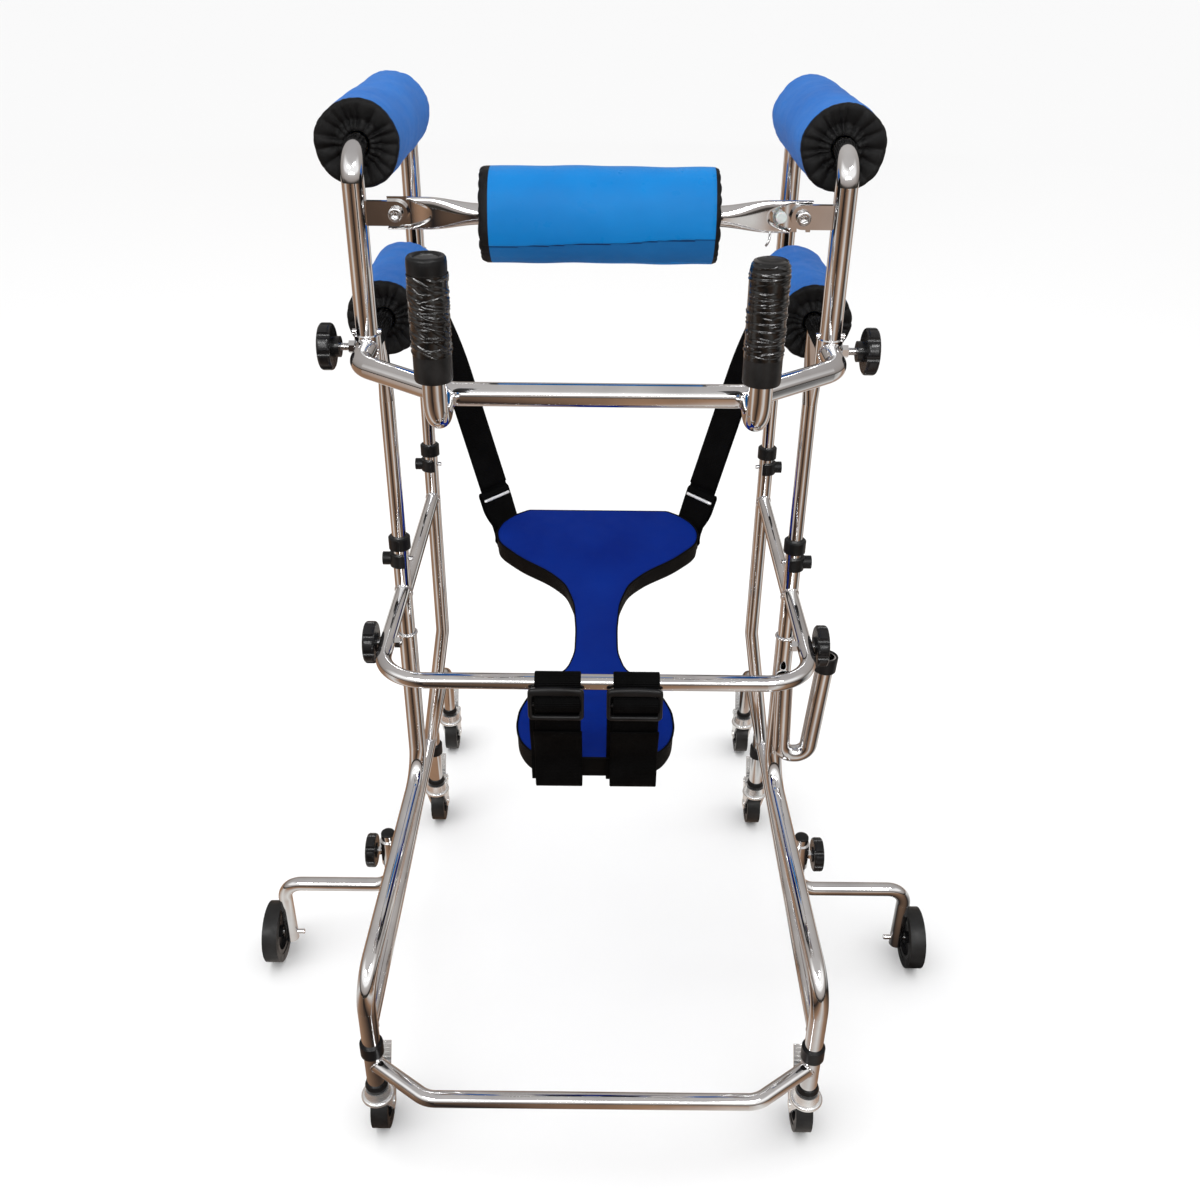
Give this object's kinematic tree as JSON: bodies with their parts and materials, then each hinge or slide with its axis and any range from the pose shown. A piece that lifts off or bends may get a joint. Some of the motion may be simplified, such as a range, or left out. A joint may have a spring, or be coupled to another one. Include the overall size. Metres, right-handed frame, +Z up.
{
  "type": "gait trainer",
  "caption": "Chrome tube gait trainer on braked swivel casters with outrigger wheels, a strap-hung seat, upright handles, padded arm and armpit rolls and a swing-up chest bar.",
  "frame": {"origin": "on the floor, below the middle of the part's box", "axes": "+Z up, +Y from the handles towards the open rear, where the user enters, and +X towards the side with the drip stand holder"},
  "size_m": [1.098, 1.018, 1.3513],
  "materials": {
    "chrome_tube": "polished",
    "zinc_plated": "zinc plated",
    "buckle_metal": "nickel plated",
    "black_plastic": "moulded",
    "button_plastic": "moulded",
    "grip_foam": "foam",
    "wheel_rubber": "moulded",
    "webbing": "woven",
    "seat_cover": "woven",
    "roll_cover": "coated",
    "chest_cover": "coated"
  },
  "bodies": {
    "base_frame": {"left_front_leg": "chrome_tube", "right_front_leg": "chrome_tube", "left_rear_leg": "chrome_tube", "right_rear_leg": "chrome_tube", "left_base_rail": "chrome_tube", "right_base_rail": "chrome_tube", "side_braces": "chrome_tube", "front_bottom_bar": "chrome_tube", "seat_bar": "chrome_tube", "drip_stand_holder": "chrome_tube", "plastic_collars": "black_plastic", "seat_pad": "seat_cover", "front_straps": "webbing", "rear_straps": "webbing", "strap_buckles": "buckle_metal"},
    "upper_frame": {"handlebar": "chrome_tube", "inner_posts": "chrome_tube", "armpit_sleeves": "chrome_tube", "handle_grips": "grip_foam", "left_arm_roll": "roll_cover", "right_arm_roll": "roll_cover"},
    "left_armpit": {"left_armpit_arch": "chrome_tube", "left_armpit_roll": "roll_cover"},
    "right_armpit": {"right_armpit_arch": "chrome_tube", "right_armpit_roll": "roll_cover"},
    "chest": {"chest_bar": "chrome_tube", "chest_roll": "chest_cover"},
    "latch_button": {"chest_latch_button": "button_plastic"},
    "left_armpit_knob": {"left_armpit_knob": "black_plastic"},
    "left_seat_knob": {"left_seat_knob": "black_plastic"},
    "left_outrigger_knob": {"left_outrigger_knob": "black_plastic"},
    "left_outrigger": {"left_outrigger_arm": "chrome_tube"},
    "left_outrigger_wheel": {"left_outrigger_wheel": "wheel_rubber"},
    "near_left_pin_clip": {"near_left_pin_clip": "black_plastic"},
    "far_left_pin_clip": {"far_left_pin_clip": "black_plastic"},
    "front_left_fork": {"front_left_fork": "zinc_plated"},
    "front_left_wheel": {"front_left_wheel": "wheel_rubber"},
    "front_left_pedal": {"front_left_pedal": "zinc_plated"},
    "mid_left_fork": {"mid_left_fork": "zinc_plated"},
    "mid_left_wheel": {"mid_left_wheel": "wheel_rubber"},
    "mid_left_pedal": {"mid_left_pedal": "zinc_plated"},
    "rear_left_fork": {"rear_left_fork": "zinc_plated"},
    "rear_left_wheel": {"rear_left_wheel": "wheel_rubber"},
    "rear_left_pedal": {"rear_left_pedal": "zinc_plated"},
    "right_armpit_knob": {"right_armpit_knob": "black_plastic"},
    "right_seat_knob": {"right_seat_knob": "black_plastic"},
    "right_outrigger_knob": {"right_outrigger_knob": "black_plastic"},
    "right_outrigger": {"right_outrigger_arm": "chrome_tube"},
    "right_outrigger_wheel": {"right_outrigger_wheel": "wheel_rubber"},
    "near_right_pin_clip": {"near_right_pin_clip": "black_plastic"},
    "far_right_pin_clip": {"far_right_pin_clip": "black_plastic"},
    "front_right_fork": {"front_right_fork": "zinc_plated"},
    "front_right_wheel": {"front_right_wheel": "wheel_rubber"},
    "front_right_pedal": {"front_right_pedal": "zinc_plated"},
    "mid_right_fork": {"mid_right_fork": "zinc_plated"},
    "mid_right_wheel": {"mid_right_wheel": "wheel_rubber"},
    "mid_right_pedal": {"mid_right_pedal": "zinc_plated"},
    "rear_right_fork": {"rear_right_fork": "zinc_plated"},
    "rear_right_wheel": {"rear_right_wheel": "wheel_rubber"},
    "rear_right_pedal": {"rear_right_pedal": "zinc_plated"}
  },
  "joints": [
    {"name": "height_slide", "type": "slide", "parent": "base_frame", "child": "upper_frame", "axis": [0, 0, 1], "range_m": [0, 0.1], "deforming": ["rear_straps"]},
    {"name": "left_armpit_slide", "type": "slide", "parent": "upper_frame", "child": "left_armpit", "axis": [0, 0, 1], "range_m": [0, 0.025]},
    {"name": "right_armpit_slide", "type": "slide", "parent": "upper_frame", "child": "right_armpit", "axis": [0, 0, 1], "range_m": [0, 0.025]},
    {"name": "chest_swing", "type": "hinge", "parent": "left_armpit", "child": "chest", "pos_m": [-0.221, -0.2, 1.24], "axis": [0, -1, 0], "range_deg": [0, 55]},
    {"name": "latch_press", "type": "slide", "parent": "chest", "child": "latch_button", "axis": [0, 1, 0], "range_m": [0, 0.002], "stiffness_N_per_m": 800, "springref_m": -0.002},
    {"name": "left_armpit_knob_turn", "type": "hinge", "parent": "upper_frame", "child": "left_armpit_knob", "pos_m": [-0.3, -0.2, 1.09], "axis": [-1, 0, 0], "continuous": true},
    {"name": "left_seat_knob_turn", "type": "hinge", "parent": "base_frame", "child": "left_seat_knob", "pos_m": [-0.3, -0.25564, 0.722], "axis": [-1, 0, 0], "continuous": true},
    {"name": "left_outrigger_knob_turn", "type": "hinge", "parent": "base_frame", "child": "left_outrigger_knob", "pos_m": [-0.3, -0.105, 0.232], "axis": [-1, 0, 0], "continuous": true},
    {"name": "left_outrigger_slide", "type": "slide", "parent": "base_frame", "child": "left_outrigger", "axis": [0, 0, 1], "range_m": [0, 0.02]},
    {"name": "left_outrigger_wheel_spin", "type": "hinge", "parent": "left_outrigger", "child": "left_outrigger_wheel", "pos_m": [-0.53, -0.105, 0.05], "axis": [1, 0, 0], "continuous": true},
    {"name": "near_left_pin_clip_pull", "type": "slide", "parent": "base_frame", "child": "near_left_pin_clip", "axis": [-1, 0, 0], "range_m": [0, 0.032]},
    {"name": "far_left_pin_clip_pull", "type": "slide", "parent": "base_frame", "child": "far_left_pin_clip", "axis": [-1, 0, 0], "range_m": [0, 0.032]},
    {"name": "front_left_fork_swivel", "type": "hinge", "parent": "base_frame", "child": "front_left_fork", "pos_m": [-0.302, -0.44, 0.1], "axis": [0, 0, 1], "continuous": true},
    {"name": "front_left_wheel_spin", "type": "hinge", "parent": "front_left_fork", "child": "front_left_wheel", "pos_m": [-0.302, -0.416, 0.0375], "axis": [1, 0, 0], "continuous": true},
    {"name": "front_left_pedal_press", "type": "hinge", "parent": "front_left_fork", "child": "front_left_pedal", "pos_m": [-0.302, -0.404, 0.083], "axis": [-1, 0, 0], "range_deg": [0, 20]},
    {"name": "mid_left_fork_swivel", "type": "hinge", "parent": "base_frame", "child": "mid_left_fork", "pos_m": [-0.302, 0.225, 0.1], "axis": [0, 0, 1], "continuous": true},
    {"name": "mid_left_wheel_spin", "type": "hinge", "parent": "mid_left_fork", "child": "mid_left_wheel", "pos_m": [-0.302, 0.249, 0.0375], "axis": [1, 0, 0], "continuous": true},
    {"name": "mid_left_pedal_press", "type": "hinge", "parent": "mid_left_fork", "child": "mid_left_pedal", "pos_m": [-0.302, 0.261, 0.083], "axis": [-1, 0, 0], "range_deg": [0, 20]},
    {"name": "rear_left_fork_swivel", "type": "hinge", "parent": "base_frame", "child": "rear_left_fork", "pos_m": [-0.302, 0.4475, 0.1], "axis": [0, 0, 1], "continuous": true},
    {"name": "rear_left_wheel_spin", "type": "hinge", "parent": "rear_left_fork", "child": "rear_left_wheel", "pos_m": [-0.302, 0.4715, 0.0375], "axis": [1, 0, 0], "continuous": true},
    {"name": "rear_left_pedal_press", "type": "hinge", "parent": "rear_left_fork", "child": "rear_left_pedal", "pos_m": [-0.302, 0.4835, 0.083], "axis": [-1, 0, 0], "range_deg": [0, 20]},
    {"name": "right_armpit_knob_turn", "type": "hinge", "parent": "upper_frame", "child": "right_armpit_knob", "pos_m": [0.3, -0.2, 1.09], "axis": [1, 0, 0], "continuous": true},
    {"name": "right_seat_knob_turn", "type": "hinge", "parent": "base_frame", "child": "right_seat_knob", "pos_m": [0.3, -0.25564, 0.722], "axis": [1, 0, 0], "continuous": true},
    {"name": "right_outrigger_knob_turn", "type": "hinge", "parent": "base_frame", "child": "right_outrigger_knob", "pos_m": [0.3, -0.105, 0.232], "axis": [1, 0, 0], "continuous": true},
    {"name": "right_outrigger_slide", "type": "slide", "parent": "base_frame", "child": "right_outrigger", "axis": [0, 0, 1], "range_m": [0, 0.02]},
    {"name": "right_outrigger_wheel_spin", "type": "hinge", "parent": "right_outrigger", "child": "right_outrigger_wheel", "pos_m": [0.53, -0.105, 0.05], "axis": [1, 0, 0], "continuous": true},
    {"name": "near_right_pin_clip_pull", "type": "slide", "parent": "base_frame", "child": "near_right_pin_clip", "axis": [1, 0, 0], "range_m": [0, 0.032]},
    {"name": "far_right_pin_clip_pull", "type": "slide", "parent": "base_frame", "child": "far_right_pin_clip", "axis": [1, 0, 0], "range_m": [0, 0.032]},
    {"name": "front_right_fork_swivel", "type": "hinge", "parent": "base_frame", "child": "front_right_fork", "pos_m": [0.302, -0.44, 0.1], "axis": [0, 0, 1], "continuous": true},
    {"name": "front_right_wheel_spin", "type": "hinge", "parent": "front_right_fork", "child": "front_right_wheel", "pos_m": [0.302, -0.416, 0.0375], "axis": [1, 0, 0], "continuous": true},
    {"name": "front_right_pedal_press", "type": "hinge", "parent": "front_right_fork", "child": "front_right_pedal", "pos_m": [0.302, -0.404, 0.083], "axis": [-1, 0, 0], "range_deg": [0, 20]},
    {"name": "mid_right_fork_swivel", "type": "hinge", "parent": "base_frame", "child": "mid_right_fork", "pos_m": [0.302, 0.225, 0.1], "axis": [0, 0, 1], "continuous": true},
    {"name": "mid_right_wheel_spin", "type": "hinge", "parent": "mid_right_fork", "child": "mid_right_wheel", "pos_m": [0.302, 0.249, 0.0375], "axis": [1, 0, 0], "continuous": true},
    {"name": "mid_right_pedal_press", "type": "hinge", "parent": "mid_right_fork", "child": "mid_right_pedal", "pos_m": [0.302, 0.261, 0.083], "axis": [-1, 0, 0], "range_deg": [0, 20]},
    {"name": "rear_right_fork_swivel", "type": "hinge", "parent": "base_frame", "child": "rear_right_fork", "pos_m": [0.302, 0.4475, 0.1], "axis": [0, 0, 1], "continuous": true},
    {"name": "rear_right_wheel_spin", "type": "hinge", "parent": "rear_right_fork", "child": "rear_right_wheel", "pos_m": [0.302, 0.4715, 0.0375], "axis": [1, 0, 0], "continuous": true},
    {"name": "rear_right_pedal_press", "type": "hinge", "parent": "rear_right_fork", "child": "rear_right_pedal", "pos_m": [0.302, 0.4835, 0.083], "axis": [-1, 0, 0], "range_deg": [0, 20]}
  ],
  "couplings": [
    {"joint": "right_armpit_slide", "follows": "left_armpit_slide", "ratio": 1}
  ]
}
